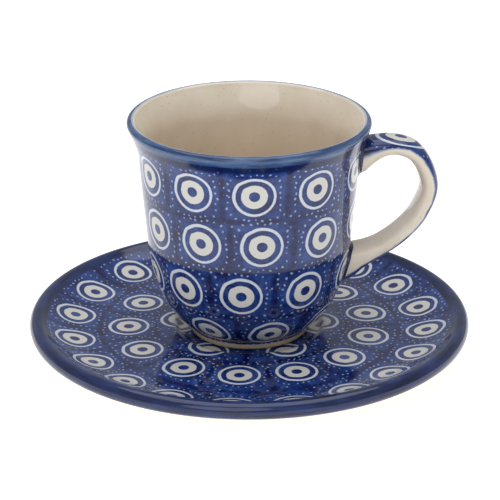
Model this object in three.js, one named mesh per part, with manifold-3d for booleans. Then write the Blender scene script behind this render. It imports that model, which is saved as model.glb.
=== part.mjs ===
// A stoneware cup and saucer, stamped all over with cobalt rings.
// Millimetres, +Z up. The origin is on the table under the middle of the saucer, and the cup's
// handle points along +X.
//
// The bowl is turned in one with its foot ring. The handle is pressed in a mould and luted to the
// bowl with slip, a bead of which stays round each end. The saucer is a separate piece: the cup
// stands in its well and lifts off.

import * as THREE from "three";
import { mergeVertices } from "three/addons/utils/BufferGeometryUtils.js";
import Module from "manifold-3d";

const wasm = await Module();
wasm.setup();

// Saucer
const SAUCER_DIAMETER = 158;
const SAUCER_HEIGHT = 17; // table to the top of the rim
const SAUCER_RIM_ROUND = 3; // radius of the rolled rim
const SAUCER_DISH_DEPTH = 6; // top of the rim down to the floor of the dish
const SAUCER_FLOOR_DIAMETER = 114; // where the floor turns up to the rim
const SAUCER_FOOT_DIAMETER = 94;
const SAUCER_FOOT_WIDTH = 4;
const SAUCER_FOOT_HEIGHT = 4;
const WELL_DEPTH = 1.2; // floor of the dish down to the floor of the well
const WELL_RIDGE = 0.6; // height of the soft ridge round the well
const WELL_CLEARANCE = 3.5; // free space round the cup's foot in the well

// Bowl of the cup, with heights from the bottom of its own foot
const CUP_HEIGHT = 80.2;
const LIP_DIAMETER = 85.4;
const LIP_ROUND = 1.6; // radius of the rounded lip
const LIP_TUCK = THREE.MathUtils.degToRad(20); // lean of the wall where it runs into the lip's round
const FLARE_HEIGHT = 13.9; // top of the lip down to the neck, where the wall starts to flare
const NECK_DIAMETER = 77.6;
const BELLY_DIAMETER = 72.6; // where the wall starts to turn in
const BELLY_HEIGHT = 36;
const CUP_WALL = 3.6;
const CUP_FLOOR = 5;
const FOOT_DIAMETER = 43;
const FOOT_HEIGHT = 2.6;
const FOOT_WIDTH = 3.6;
const FOOT_FILLET = 1.3; // between the foot ring and the underside of the bowl
const FOOT_CHAMFER = 0.8;

// Handle
const HANDLE_REACH = 30.4; // side of the belly to the outside of the handle
const HANDLE_WIDTH = 13;
const HANDLE_THICKNESS = 6.4;
const HANDLE_TOP_DROP = 14.8; // top of the lip down to where the centre line meets the wall
const HANDLE_BOTTOM_HEIGHT = 25.3; // bottom of the foot up to where it meets the wall again
const ROOT_FLARE = 6.4; // extra thickness where the handle meets the wall
const ROOT_FLARE_LENGTH = 12;
const ROOT_DEPTH = 9; // how far the centre line runs on inside the wall before it is cut
const SQUARENESS = 2.5; // exponent of the superellipse section: 2 is an ellipse

// Beads of slip
const BEAD_WIDTH = 1.3; // how far a bead stands out round the handle
const BEAD_HEIGHT = 1.6; // how far it climbs from the wall

// Clear space left between pieces that touch
const GAP = 0.3;

// Fineness of the faceting
const TURN_SEGMENTS = 64;
const CURVE_STEPS = 5;
const ROUND_STEPS = 1; // pairs of facets on each arc of a rounded edge
const SWEEP_STEPS = 36;
const SECTION_SIDES = 20;

const cupBase = SAUCER_HEIGHT - SAUCER_DISH_DEPTH - WELL_DEPTH + GAP;
const neckHeight = CUP_HEIGHT - FLARE_HEIGHT;

const polar = (centre, radius, angle) => [
  centre[0] + radius * Math.cos(angle),
  centre[1] + radius * Math.sin(angle),
];

// The outside of the bowl from the foot ring up to the start of the lip's round: a quarter-round
// belly, a wall that opens slightly, and a flare.
function bowlSide() {
  const foot = [FOOT_DIAMETER / 2 + FOOT_FILLET, FOOT_HEIGHT + FOOT_FILLET];
  const belly = [BELLY_DIAMETER / 2, BELLY_HEIGHT];
  const neck = [NECK_DIAMETER / 2, neckHeight];
  const lip = polar(
    [LIP_DIAMETER / 2 - LIP_ROUND, CUP_HEIGHT - LIP_ROUND],
    LIP_ROUND,
    -LIP_TUCK,
  );
  const between = (a, b, across, up) => [a[0] + across * (b[0] - a[0]), a[1] + up * (b[1] - a[1])];
  const side = new THREE.Path();
  side.moveTo(...foot);
  side.bezierCurveTo(...between(foot, belly, 0.51, 0.17), ...between(foot, belly, 0.86, 0.41), ...belly);
  side.bezierCurveTo(...between(belly, neck, 0.24, 0.2), ...between(belly, neck, 0.88, 0.81), ...neck);
  side.bezierCurveTo(...between(neck, lip, 0.03, 0.25), ...between(neck, lip, 0.65, 0.72), ...lip);
  return side.getPoints(CURVE_STEPS + 1);
}

// The curve that runs at a distance from a profile, measured square to it.
function parallel(points, distance) {
  return points.map((point, i) => {
    const along = points[Math.min(i + 1, points.length - 1)]
      .clone()
      .sub(points[Math.max(i - 1, 0)])
      .normalize();
    return new THREE.Vector2(point.x + distance * along.y, point.y - distance * along.x);
  });
}

// The radius of the bowl's outside at a height, and so where the handle meets it.
function sideRadius(height) {
  const side = bowlSide();
  const above = Math.max(1, side.findIndex((point) => point.y >= height));
  const [low, high] = [side[above - 1], side[above]];
  return low.x + ((height - low.y) / (high.y - low.y)) * (high.x - low.x);
}

// The round part of a profile, with a corner of the facets on each quarter so that sizes come out true.
function roundOff(centre, radius, from, to) {
  const quarters = [from, 0, Math.PI / 2, to];
  const path = new THREE.Path();
  for (let i = 0; i < quarters.length - 1; i += 1) {
    path.absarc(...centre, radius, quarters[i], quarters[i + 1], false);
  }
  return path.getPoints(ROUND_STEPS);
}

// A profile of radius and height, turned about the Z axis.
function turned(profile) {
  return new THREE.LatheGeometry(profile, TURN_SEGMENTS).rotateX(Math.PI / 2);
}

function bowlGeometry() {
  const centre = [LIP_DIAMETER / 2 - LIP_ROUND, CUP_HEIGHT - LIP_ROUND];
  const footOut = FOOT_DIAMETER / 2;
  const footIn = footOut - FOOT_WIDTH;
  const floor = FOOT_HEIGHT + CUP_FLOOR;
  const bellyIn = [BELLY_DIAMETER / 2 - CUP_WALL, BELLY_HEIGHT];
  const neckIn = [NECK_DIAMETER / 2 - CUP_WALL, neckHeight];
  const lipIn = polar(centre, LIP_ROUND, Math.PI - LIP_TUCK);

  const under = new THREE.Path();
  under.moveTo(0, FOOT_HEIGHT);
  under.lineTo(footIn - FOOT_CHAMFER, FOOT_HEIGHT);
  under.lineTo(footIn, FOOT_CHAMFER);
  under.lineTo(footIn + FOOT_CHAMFER, 0);
  under.lineTo(footOut - FOOT_CHAMFER, 0);
  under.lineTo(footOut - FOOT_CHAMFER / 4, FOOT_CHAMFER);
  under.lineTo(footOut, FOOT_HEIGHT);

  const inside = new THREE.Path();
  inside.moveTo(...lipIn);
  inside.bezierCurveTo(
    lipIn[0] - 0.8 * (lipIn[0] - neckIn[0]),
    lipIn[1] - 0.4 * FLARE_HEIGHT,
    neckIn[0],
    neckIn[1] + 0.2 * FLARE_HEIGHT,
    ...neckIn,
  );
  inside.lineTo(...bellyIn);
  inside.bezierCurveTo(
    bellyIn[0] - 0.06 * (BELLY_HEIGHT - floor),
    bellyIn[1] - 0.62 * (BELLY_HEIGHT - floor),
    footOut + 0.35 * (bellyIn[0] - footOut),
    floor,
    footIn - FOOT_WIDTH,
    floor,
  );
  inside.lineTo(0, floor);

  return turned([
    ...under.getPoints(),
    ...bowlSide(),
    ...roundOff(centre, LIP_ROUND, -LIP_TUCK, Math.PI - LIP_TUCK).slice(1),
    ...inside.getPoints(CURVE_STEPS).slice(1),
  ]);
}

function saucerGeometry() {
  const floor = SAUCER_HEIGHT - SAUCER_DISH_DEPTH;
  const well = floor - WELL_DEPTH;
  const wellRadius = FOOT_DIAMETER / 2 + WELL_CLEARANCE;
  const ridgeRadius = wellRadius + 2.5;
  const floorRadius = SAUCER_FLOOR_DIAMETER / 2;
  const footOut = SAUCER_FOOT_DIAMETER / 2;
  const footIn = footOut - SAUCER_FOOT_WIDTH;
  const centre = [SAUCER_DIAMETER / 2 - SAUCER_RIM_ROUND, SAUCER_HEIGHT - SAUCER_RIM_ROUND];
  const rimStart = THREE.MathUtils.degToRad(-68);
  const rimEnd = THREE.MathUtils.degToRad(125);
  const rimUnder = polar(centre, SAUCER_RIM_ROUND, rimStart);
  const rimInside = polar(centre, SAUCER_RIM_ROUND, rimEnd);

  const under = new THREE.Path();
  under.moveTo(0, SAUCER_FOOT_HEIGHT);
  under.lineTo(footIn - 1, SAUCER_FOOT_HEIGHT);
  under.lineTo(footIn, 0);
  under.lineTo(footOut, 0);
  under.lineTo(footOut + 1, SAUCER_FOOT_HEIGHT - 1);
  under.bezierCurveTo(
    footOut + 0.4 * (rimUnder[0] - footOut),
    SAUCER_FOOT_HEIGHT,
    ...polar(rimUnder, -0.45 * (rimUnder[0] - footOut), rimStart + Math.PI / 2),
    ...rimUnder,
  );

  const dish = new THREE.Path();
  dish.moveTo(...rimInside);
  dish.bezierCurveTo(
    ...polar(rimInside, 0.28 * (rimInside[0] - floorRadius), rimEnd + Math.PI / 2),
    floorRadius + 0.42 * (rimInside[0] - floorRadius),
    floor,
    floorRadius,
    floor,
  );
  dish.lineTo(ridgeRadius + 12, floor);
  dish.bezierCurveTo(
    ridgeRadius + 6,
    floor,
    ridgeRadius + 4,
    floor + WELL_RIDGE,
    ridgeRadius,
    floor + WELL_RIDGE,
  );
  dish.bezierCurveTo(ridgeRadius - 1.2, floor + WELL_RIDGE, wellRadius + 0.6, well, wellRadius, well);
  dish.lineTo(0, well);

  return turned([
    ...under.getPoints(CURVE_STEPS),
    ...roundOff(centre, SAUCER_RIM_ROUND, rimStart, rimEnd).slice(1),
    ...dish.getPoints(CURVE_STEPS).slice(1),
  ]);
}

// The handle's centre line, an ear in the XZ plane. Its middle points are shares of how far the
// handle reaches out and of the height between its ends.
function handleLine() {
  const top = CUP_HEIGHT - HANDLE_TOP_DROP;
  const bottom = HANDLE_BOTTOM_HEIGHT;
  const belly = BELLY_DIAMETER / 2;
  const reach = HANDLE_REACH - HANDLE_THICKNESS / 2;
  const ear = [
    [0.49, 1.08],
    [0.81, 1.005],
    [1, 0.72],
    [0.89, 0.47],
    [0.71, 0.31],
    [0.42, 0.155],
  ];
  return new THREE.CatmullRomCurve3(
    [
      [sideRadius(top) - ROOT_DEPTH, top - ROOT_DEPTH / 2],
      [sideRadius(top), top],
      ...ear.map(([across, up]) => [belly + across * reach, bottom + up * (top - bottom)]),
      [sideRadius(bottom), bottom],
      [sideRadius(bottom) - ROOT_DEPTH, bottom - ROOT_DEPTH / 2],
    ].map(([radius, height]) => new THREE.Vector3(radius, 0, height)),
  );
}

// The handle as a closed sweep along its centre line, larger by grow all round. Its section is a
// superellipse that thickens towards the wall.
function handleSweep(grow) {
  const line = handleLine();
  const positions = [];
  const faces = [];
  for (let step = 0; step <= SWEEP_STEPS; step += 1) {
    const share = step / SWEEP_STEPS;
    const middle = line.getPointAt(share);
    const along = line.getTangentAt(share);
    const outward = new THREE.Vector3(-along.z, 0, along.x);
    const fromWall = Math.max(0, middle.x - sideRadius(middle.z));
    const near = Math.max(0, 1 - fromWall / ROOT_FLARE_LENGTH) ** 2;
    const halfThick = (HANDLE_THICKNESS + ROOT_FLARE * near) / 2 + grow;
    const halfWide = HANDLE_WIDTH / 2 + grow;
    for (let side = 0; side < SECTION_SIDES; side += 1) {
      const turn = (2 * Math.PI * side) / SECTION_SIDES;
      const shape = (value) => Math.sign(value) * Math.abs(value) ** (2 / SQUARENESS);
      const corner = middle
        .clone()
        .addScaledVector(outward, halfThick * shape(Math.cos(turn)))
        .add(new THREE.Vector3(0, halfWide * shape(Math.sin(turn)), 0));
      positions.push(...corner.toArray());
    }
  }
  for (let step = 0; step < SWEEP_STEPS; step += 1) {
    for (let side = 0; side < SECTION_SIDES; side += 1) {
      const next = (side + 1) % SECTION_SIDES;
      const [a, b] = [step * SECTION_SIDES + side, step * SECTION_SIDES + next];
      faces.push(a, a + SECTION_SIDES, b, b, a + SECTION_SIDES, b + SECTION_SIDES);
    }
  }
  const last = SWEEP_STEPS * SECTION_SIDES;
  for (let side = 1; side < SECTION_SIDES - 1; side += 1) {
    faces.push(0, side, side + 1, last, last + side + 1, last + side);
  }
  const geometry = new THREE.BufferGeometry();
  geometry.setAttribute("position", new THREE.Float32BufferAttribute(positions, 3));
  geometry.setIndex(faces);
  return geometry;
}

// The whole space that the bowl takes up, with its inside filled, larger by grow.
function filledBowl(grow) {
  const side = parallel(bowlSide(), grow);
  const top = side[side.length - 1].y;
  return turned([new THREE.Vector2(0, side[0].y), ...side, new THREE.Vector2(0, top)]);
}

function toSolid(geometry) {
  const bare = new THREE.BufferGeometry();
  bare.setAttribute("position", geometry.getAttribute("position"));
  bare.setIndex(geometry.getIndex());
  const merged = mergeVertices(bare, 1e-3);
  return new wasm.Manifold(
    new wasm.Mesh({
      numProp: 3,
      vertProperties: merged.getAttribute("position").array,
      triVerts: new Uint32Array(merged.getIndex().array),
    }),
  );
}

function toGeometry(solid) {
  const mesh = solid.getMesh();
  const geometry = new THREE.BufferGeometry();
  geometry.setAttribute("position", new THREE.BufferAttribute(mesh.vertProperties, 3));
  geometry.setIndex(new THREE.BufferAttribute(mesh.triVerts, 1));
  geometry.computeVertexNormals();
  return geometry;
}

// The bead of slip round one end of the handle: a collar against the wall of the bowl.
function beadGeometry(upper) {
  const collar = toSolid(handleSweep(BEAD_WIDTH))
    .intersect(toSolid(filledBowl(GAP + BEAD_HEIGHT)))
    .subtract(toSolid(filledBowl(GAP)))
    .subtract(toSolid(handleSweep(GAP)));
  const middle = (CUP_HEIGHT - HANDLE_TOP_DROP + HANDLE_BOTTOM_HEIGHT) / 2;
  const [above, below] = collar.splitByPlane([0, 0, 1], middle);
  return toGeometry(upper ? above : below);
}

const cobaltGlaze = () =>
  new THREE.MeshStandardMaterial({ color: "#2c3b74", roughness: 0.18, metalness: 0 });
const creamGlaze = () =>
  new THREE.MeshStandardMaterial({ color: "#cfc4b2", roughness: 0.2, metalness: 0 });
const slateGlaze = () =>
  new THREE.MeshStandardMaterial({ color: "#3a4468", roughness: 0.2, metalness: 0 });

function piece(name, geometry, material) {
  const mesh = new THREE.Mesh(geometry, material);
  mesh.name = name;
  return mesh;
}

const cup = new THREE.Group();
cup.position.z = cupBase;
cup.add(
  piece("cup_bowl", bowlGeometry(), cobaltGlaze()),
  piece(
    "cup_handle",
    toGeometry(toSolid(handleSweep(0)).subtract(toSolid(filledBowl(GAP)))),
    creamGlaze(),
  ),
  piece("slip_bead_upper", beadGeometry(true), slateGlaze()),
  piece("slip_bead_lower", beadGeometry(false), slateGlaze()),
);

const cupAndSaucer = new THREE.Group();
cupAndSaucer.add(piece("saucer", saucerGeometry(), cobaltGlaze()), cup);

export default cupAndSaucer;
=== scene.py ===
# %% [markdown]
# # A stoneware cup on its saucer
#
# The cup and the saucer are pressed from stoneware clay. A painter brushes them with cobalt, prints rings
# and dots with cut sponges, dips them in clear glaze and fires them again. The handle is a strap of clay
# joined to the bowl with wet slip. This lesson builds those five pieces round a finished CAD model, which
# gives their sizes and places: the saucer, the bowl, the handle and the two seams of slip.
#
# The frame comes first. The main heights and radii are read from the boxes of its parts.

# %% Load the frame
import math

import bpy
import numpy as np
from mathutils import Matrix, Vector


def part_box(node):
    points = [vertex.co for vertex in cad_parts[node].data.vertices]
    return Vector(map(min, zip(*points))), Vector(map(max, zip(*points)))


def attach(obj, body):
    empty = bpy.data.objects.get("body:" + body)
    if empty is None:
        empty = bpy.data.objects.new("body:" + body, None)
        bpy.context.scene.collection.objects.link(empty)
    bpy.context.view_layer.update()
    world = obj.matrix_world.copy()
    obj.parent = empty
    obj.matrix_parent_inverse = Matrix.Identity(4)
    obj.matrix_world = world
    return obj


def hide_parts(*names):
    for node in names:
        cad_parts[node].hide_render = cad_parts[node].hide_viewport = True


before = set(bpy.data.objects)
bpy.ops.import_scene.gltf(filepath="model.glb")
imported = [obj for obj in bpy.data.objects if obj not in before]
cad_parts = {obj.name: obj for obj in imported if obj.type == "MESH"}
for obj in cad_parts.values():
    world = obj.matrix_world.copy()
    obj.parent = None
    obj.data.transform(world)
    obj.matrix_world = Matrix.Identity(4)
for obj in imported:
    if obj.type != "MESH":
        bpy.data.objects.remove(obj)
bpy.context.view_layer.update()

MM = 0.001

# %% [markdown]
# ## Sizes
#
# Lengths are in millimetres until a mesh is made. What can be read from the frame is read from it. The
# other sizes are the ones that a potter's template would have: where the belly is widest, how thick the
# wall is, how far down the lip starts to flare.

# %% Sizes read from the frame
def box_of(node):
    """Lowest and highest corner of a part of the frame, in millimetres."""
    return [np.array(corner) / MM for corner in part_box(node)]


cup_low, cup_high = box_of("cup_bowl")
handle_low, handle_high = box_of("cup_handle")
saucer_high = box_of("saucer")[1]
CUP_BASE = cup_low[2]
CUP_HEIGHT = cup_high[2] - cup_low[2]
LIP_RADIUS = cup_high[0]
SAUCER_RADIUS = saucer_high[0]
SAUCER_HEIGHT = saucer_high[2]
HANDLE_WIDTH = handle_high[1] - handle_low[1]
HANDLE_REACH = handle_high[0]
print(f"cup {CUP_HEIGHT:.1f} high, lip radius {LIP_RADIUS:.1f}, saucer radius {SAUCER_RADIUS:.1f}")

# %% Sizes of the template
WALL = 3.6
LIP_ROUND = 1.6
LIP_TUCK = 20  # degrees under the level where the round of the lip begins
FLARE_HEIGHT = 13.9
NECK_RADIUS = 38.8
BELLY_RADIUS = 36.3
BELLY_HEIGHT = 36.0
FOOT_RADIUS = 21.5
FOOT_HEIGHT = 2.6
FOOT_WIDTH = 3.6
FOOT_FILLET = 1.3
FOOT_BEVEL = 0.8
CUP_FLOOR = FOOT_HEIGHT + 5.0
LIP_DROOP = 1.4  # how far the front of the lip hangs below the level

SAUCER_ROUND = 3.0
DISH_FLOOR = SAUCER_HEIGHT - 6.0
DISH_FLOOR_RADIUS = 57.0
WELL_FLOOR = CUP_BASE - 0.3
WELL_RADIUS = FOOT_RADIUS + 3.5
RIDGE_RADIUS = WELL_RADIUS + 2.5
RIDGE_HEIGHT = 0.6
SAUCER_FOOT_RADIUS = 47.0
SAUCER_FOOT_WIDTH = 4.0
SAUCER_FOOT_HEIGHT = 4.0

AXIS_GAP = 0.4  # an outline ends this short of the middle, and a fan of triangles closes it
CORNER_CUT = 0.7

# %% [markdown]
# ## Profiles
#
# A potter shapes both bodies against a flat template, so one outline turned about the middle makes each.
# Blender's Screw modifier would turn an outline too. Working the surface out with numpy instead keeps
# the distance along the outline for every ring of points, and the painting needs that distance later.
# An outline is a chain of soft curves and arcs. Each is cut into equal steps, fine at the small rounds.

# %% Tools for outlines
def soft_curve(start, leave, reach, end):
    """Cubic curve from start to end: at time t each point weighs (1-t)^3, 3t(1-t)^2, 3t^2(1-t), t^3."""
    t = np.linspace(0, 1, 161)[:, None]
    start, leave, reach, end = (np.array(point, float) for point in (start, leave, reach, end))
    return (1 - t) ** 3 * start + 3 * t * (1 - t) ** 2 * leave + 3 * t**2 * (1 - t) * reach + t**3 * end


def between(start, end, across, up):
    """The point at those shares of the way from start to end."""
    return start[0] + across * (end[0] - start[0]), start[1] + up * (end[1] - start[1])


def on_arc(centre, radius, degrees):
    """Points on a circle: centre plus radius times the cosine and sine of the angle."""
    angle = np.radians(degrees)
    return np.stack([centre[0] + radius * np.cos(angle), centre[1] + radius * np.sin(angle)], axis=-1)


def softened(points, cut):
    """A chain of straight lines whose corners are cut back by a length and bridged by a quadratic curve."""
    points = np.array(points, float)
    t = np.linspace(0, 1, 9)[:, None]
    chain = [points[:1]]
    for before, corner, after in zip(points, points[1:], points[2:]):
        back, on = before - corner, after - corner
        enter = corner + back * min(cut / np.linalg.norm(back), 0.5)
        leave = corner + on * min(cut / np.linalg.norm(on), 0.5)
        chain.append((1 - t) ** 2 * enter + 2 * t * (1 - t) * corner + t**2 * leave)
    return np.vstack(chain + [points[-1:]])


def run_length(points):
    """How far along a chain each of its points lies."""
    return np.concatenate([[0], np.cumsum(np.linalg.norm(np.diff(points, axis=0), axis=1))])


def even_steps(points, step):
    """The same chain with points at equal steps, about as long as step."""
    length = run_length(points)
    places = np.linspace(0, length[-1], max(2, round(length[-1] / step) + 1))
    return np.stack([np.interp(places, length, column) for column in points.T], axis=1)


def chained(*pieces):
    """Outline pieces joined end to end, and the index where each piece begins."""
    starts = np.cumsum([0] + [len(piece) - 1 for piece in pieces])
    return np.vstack([pieces[0]] + [piece[1:] for piece in pieces[1:]]), starts


# %% The outline of the bowl, from under its foot over the lip to the middle of its floor
def bowl_outline():
    """Straight lines under the foot, cubic curves up the wall, an arc over the lip, and cubics inside."""
    foot = (FOOT_RADIUS + FOOT_FILLET, FOOT_HEIGHT + FOOT_FILLET)
    belly = (BELLY_RADIUS, BELLY_HEIGHT)
    neck = (NECK_RADIUS, CUP_HEIGHT - FLARE_HEIGHT)
    lip_middle = (LIP_RADIUS - LIP_ROUND, CUP_HEIGHT - LIP_ROUND)
    lip = on_arc(lip_middle, LIP_ROUND, -LIP_TUCK)
    lip_inside = on_arc(lip_middle, LIP_ROUND, 180 - LIP_TUCK)
    foot_inside = FOOT_RADIUS - FOOT_WIDTH
    under = softened(
        [
            (AXIS_GAP, FOOT_HEIGHT),
            (foot_inside - FOOT_BEVEL, FOOT_HEIGHT),
            (foot_inside, FOOT_BEVEL),
            (foot_inside + FOOT_BEVEL, 0),
            (FOOT_RADIUS - FOOT_BEVEL, 0),
            (FOOT_RADIUS - FOOT_BEVEL / 4, FOOT_BEVEL),
            (FOOT_RADIUS, FOOT_HEIGHT),
            foot,
        ],
        CORNER_CUT,
    )
    wall = np.vstack(
        [
            soft_curve(foot, between(foot, belly, 0.51, 0.17), between(foot, belly, 0.86, 0.41), belly),
            soft_curve(belly, between(belly, neck, 0.24, 0.2), between(belly, neck, 0.88, 0.81), neck)[1:],
            soft_curve(neck, between(neck, lip, 0.03, 0.25), between(neck, lip, 0.65, 0.72), lip)[1:],
        ]
    )
    belly_inside = (BELLY_RADIUS - WALL, BELLY_HEIGHT)
    neck_inside = (NECK_RADIUS - WALL, neck[1])
    depth = BELLY_HEIGHT - CUP_FLOOR
    inside = np.vstack(
        [
            soft_curve(
                lip_inside,
                (lip_inside[0] - 0.8 * (lip_inside[0] - neck_inside[0]), lip_inside[1] - 0.4 * FLARE_HEIGHT),
                (neck_inside[0], neck_inside[1] + 0.2 * FLARE_HEIGHT),
                neck_inside,
            ),
            [belly_inside],
            soft_curve(
                belly_inside,
                (belly_inside[0] - 0.06 * depth, belly_inside[1] - 0.62 * depth),
                (FOOT_RADIUS + 0.35 * (belly_inside[0] - FOOT_RADIUS), CUP_FLOOR),
                (foot_inside - FOOT_WIDTH, CUP_FLOOR),
            )[1:],
            [(AXIS_GAP, CUP_FLOOR)],
        ]
    )
    # Steps in millimetres: fine at the foot and the lip, coarse where the wall is plain.
    return chained(
        even_steps(under, 0.55),
        even_steps(wall, 0.7),
        even_steps(on_arc(lip_middle, LIP_ROUND, np.linspace(-LIP_TUCK, 180 - LIP_TUCK, 60)), 0.25),
        even_steps(inside, 1.3),
    )


bowl_line, (_, wall_start, lip_start, inside_start, _) = bowl_outline()
bowl_run = run_length(bowl_line)
wall_line = bowl_line[wall_start : lip_start + 1]
wall_run = bowl_run[wall_start : lip_start + 1] - bowl_run[wall_start]
print(f"bowl outline: {len(bowl_line)} points, outside wall {wall_run[-1]:.1f} mm long")


# %% The outline of the saucer, from under its middle round the rim to the middle of its well
def saucer_outline():
    """Straight lines under the foot, a cubic up the flank, an arc round the rim, and cubics in the dish."""
    foot_inside = SAUCER_FOOT_RADIUS - SAUCER_FOOT_WIDTH
    rim_middle = (SAUCER_RADIUS - SAUCER_ROUND, SAUCER_HEIGHT - SAUCER_ROUND)
    rim_start, rim_end = -68, 125
    under_rim = on_arc(rim_middle, SAUCER_ROUND, rim_start)
    over_rim = on_arc(rim_middle, SAUCER_ROUND, rim_end)
    under_reach = 0.45 * (under_rim[0] - SAUCER_FOOT_RADIUS)
    dish_reach = 0.28 * (over_rim[0] - DISH_FLOOR_RADIUS)
    foot_end = (SAUCER_FOOT_RADIUS + 1, SAUCER_FOOT_HEIGHT - 1)
    under = softened(
        [
            (AXIS_GAP, SAUCER_FOOT_HEIGHT),
            (foot_inside - 1, SAUCER_FOOT_HEIGHT),
            (foot_inside, 0),
            (SAUCER_FOOT_RADIUS, 0),
            foot_end,
        ],
        CORNER_CUT,
    )
    flank = soft_curve(
        foot_end,
        (SAUCER_FOOT_RADIUS + 0.4 * (under_rim[0] - SAUCER_FOOT_RADIUS), SAUCER_FOOT_HEIGHT),
        on_arc(under_rim, -under_reach, rim_start + 90),
        under_rim,
    )
    rise = soft_curve(
        over_rim,
        on_arc(over_rim, dish_reach, rim_end + 90),
        (DISH_FLOOR_RADIUS + 0.42 * (over_rim[0] - DISH_FLOOR_RADIUS), DISH_FLOOR),
        (DISH_FLOOR_RADIUS, DISH_FLOOR),
    )
    ridge = (RIDGE_RADIUS, DISH_FLOOR + RIDGE_HEIGHT)
    ridge_foot = (RIDGE_RADIUS + 12, DISH_FLOOR)
    well = (WELL_RADIUS, WELL_FLOOR)
    dish = np.vstack(
        [
            rise,
            soft_curve(ridge_foot, (ridge[0] + 6, DISH_FLOOR), (ridge[0] + 4, ridge[1]), ridge),
            soft_curve(ridge, (ridge[0] - 1.2, ridge[1]), (well[0] + 0.6, WELL_FLOOR), well)[1:],
            [(AXIS_GAP, WELL_FLOOR)],
        ]
    )
    return chained(
        even_steps(under, 1.0),
        even_steps(flank, 0.9),
        even_steps(on_arc(rim_middle, SAUCER_ROUND, np.linspace(rim_start, rim_end, 90)), 0.35),
        even_steps(dish, 0.6),
    )


saucer_line, (_, flank_start, rim_start, dish_start, _) = saucer_outline()
saucer_run = run_length(saucer_line)
print(f"saucer outline: {len(saucer_line)} points, dish {saucer_run[-1] - saucer_run[dish_start]:.1f} mm")

# %% [markdown]
# ## From points to a mesh
#
# Every piece here is a grid of points: loops that close on themselves, one after another along the
# piece. One function joins neighbouring loops with quads. It closes the ends with fans, or joins the last
# loop to the first where the piece is a ring. It also tells, for each corner of each face, which loop
# it is on and how far round it is. Paint coordinates are worked out from those two numbers.

# %% The mesh maker
def skin(name, loops, ring=False):
    """Mesh of a grid of points in millimetres: loops[i, j] is joined to its neighbours i+1 and j+1.

    Returns the object and, for each face corner, its loop number, its place round the loop (neither of
    them wrapped), and the same two for the middle of its face."""
    count, around = loops.shape[:2]
    last = count if ring else count - 1
    i, j = (axis.ravel() for axis in np.mgrid[0:last, 0:around])
    loop = np.stack([i, i, i + 1, i + 1], axis=1)
    place = np.stack([j, j + 1, j + 1, j], axis=1)
    corner = [((loop % count) * around + place % around).ravel()]
    where = [np.stack([loop, place, loop * 0 + i[:, None] + 0.5, loop * 0 + j[:, None] + 0.5], axis=-1)]
    sizes = [np.full(len(i), 4)]
    points = loops.reshape(-1, 3)
    if not ring:
        points = np.vstack([points, loops[0].mean(axis=0), loops[-1].mean(axis=0)])
        j = np.arange(around)
        for end, pole, turn in ((0, len(points) - 2, (1, 0)), (last, len(points) - 1, (0, 1))):
            place = np.stack([j + 0.5, j + turn[0], j + turn[1]], axis=1)
            fan = end * around + place.astype(int) % around
            fan[:, 0] = pole
            corner.append(fan.ravel())
            ends = place * 0 + end
            where.append(np.stack([ends, place, ends, place * 0 + j[:, None] + 0.5], axis=-1))
            sizes.append(np.full(around, 3))
    corner, sizes = np.concatenate(corner), np.concatenate(sizes)
    where = np.vstack([part.reshape(-1, 4) for part in where])
    mesh = bpy.data.meshes.new(name)
    mesh.vertices.add(len(points))
    mesh.vertices.foreach_set("co", (points * MM).ravel())
    mesh.loops.add(len(corner))
    mesh.loops.foreach_set("vertex_index", corner.astype(np.int32))
    mesh.polygons.add(len(sizes))
    mesh.polygons.foreach_set("loop_start", (np.cumsum(sizes) - sizes).astype(np.int32))
    mesh.polygons.foreach_set("use_smooth", np.ones(len(sizes), bool))
    mesh.update(calc_edges=True)
    piece = bpy.data.objects.new(name, mesh)
    bpy.context.scene.collection.objects.link(piece)
    print(f"{name}: {len(points)} points, {int((sizes - 2).sum())} triangles")
    return piece, where.T


def note(piece, name, values, kind="FLOAT", domain="CORNER"):
    """Keeps numbers on a mesh under a name, for its materials to read."""
    key = "vector" if kind == "FLOAT_VECTOR" else "value"
    values = np.ascontiguousarray(values, dtype=np.float32)
    piece.data.attributes.new(name, kind, domain).data.foreach_set(key, values.ravel())


# %% Turning an outline
def turned(line, turns, out_of_round=0.0, warp=0.0, droop=0.0):
    """An outline turned about the middle: (r sin a, -r cos a, z), with a from 0 at the front.

    The radius swells by a share that goes as cos 2a, and points lift by warp times sin 2a and height. The
    top droops at the front, by droop times (3 + 2 cos a) / 5 and the sixth power of the height."""
    a = np.arange(turns) * 2 * np.pi / turns
    radius, height = line[:, :1], line[:, 1:]
    share = (height - height.min()) / np.ptp(height)
    lift = warp * np.sin(2 * a + 0.7) * share**2 - droop * (3 + 2 * np.cos(a)) / 5 * share**6
    radius = radius * (1 + out_of_round * np.cos(2 * a + 0.4))
    return np.stack([radius * np.sin(a), -radius * np.cos(a), height + lift], axis=-1)


# %% [markdown]
# ## Where the stamps go
#
# The painter turns the piece on a banding wheel and prints one row of rings after another, judging
# the spaces by eye. So a row has a whole number of rings whose spacing drifts a little on the way round. For
# each face corner the row gives three numbers: the count of rings from the front with the share of
# the way to the next, the millimetres above the middle of the row, and the width of one ring's field. A
# fourth is the distance to the border of the row, where the painter's strokes overlap. A UV map holds only
# two numbers, so these four are kept as attributes.

# %% Rows of rings
TURNS = 352  # lines of points round the bowl and the saucer


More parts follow.
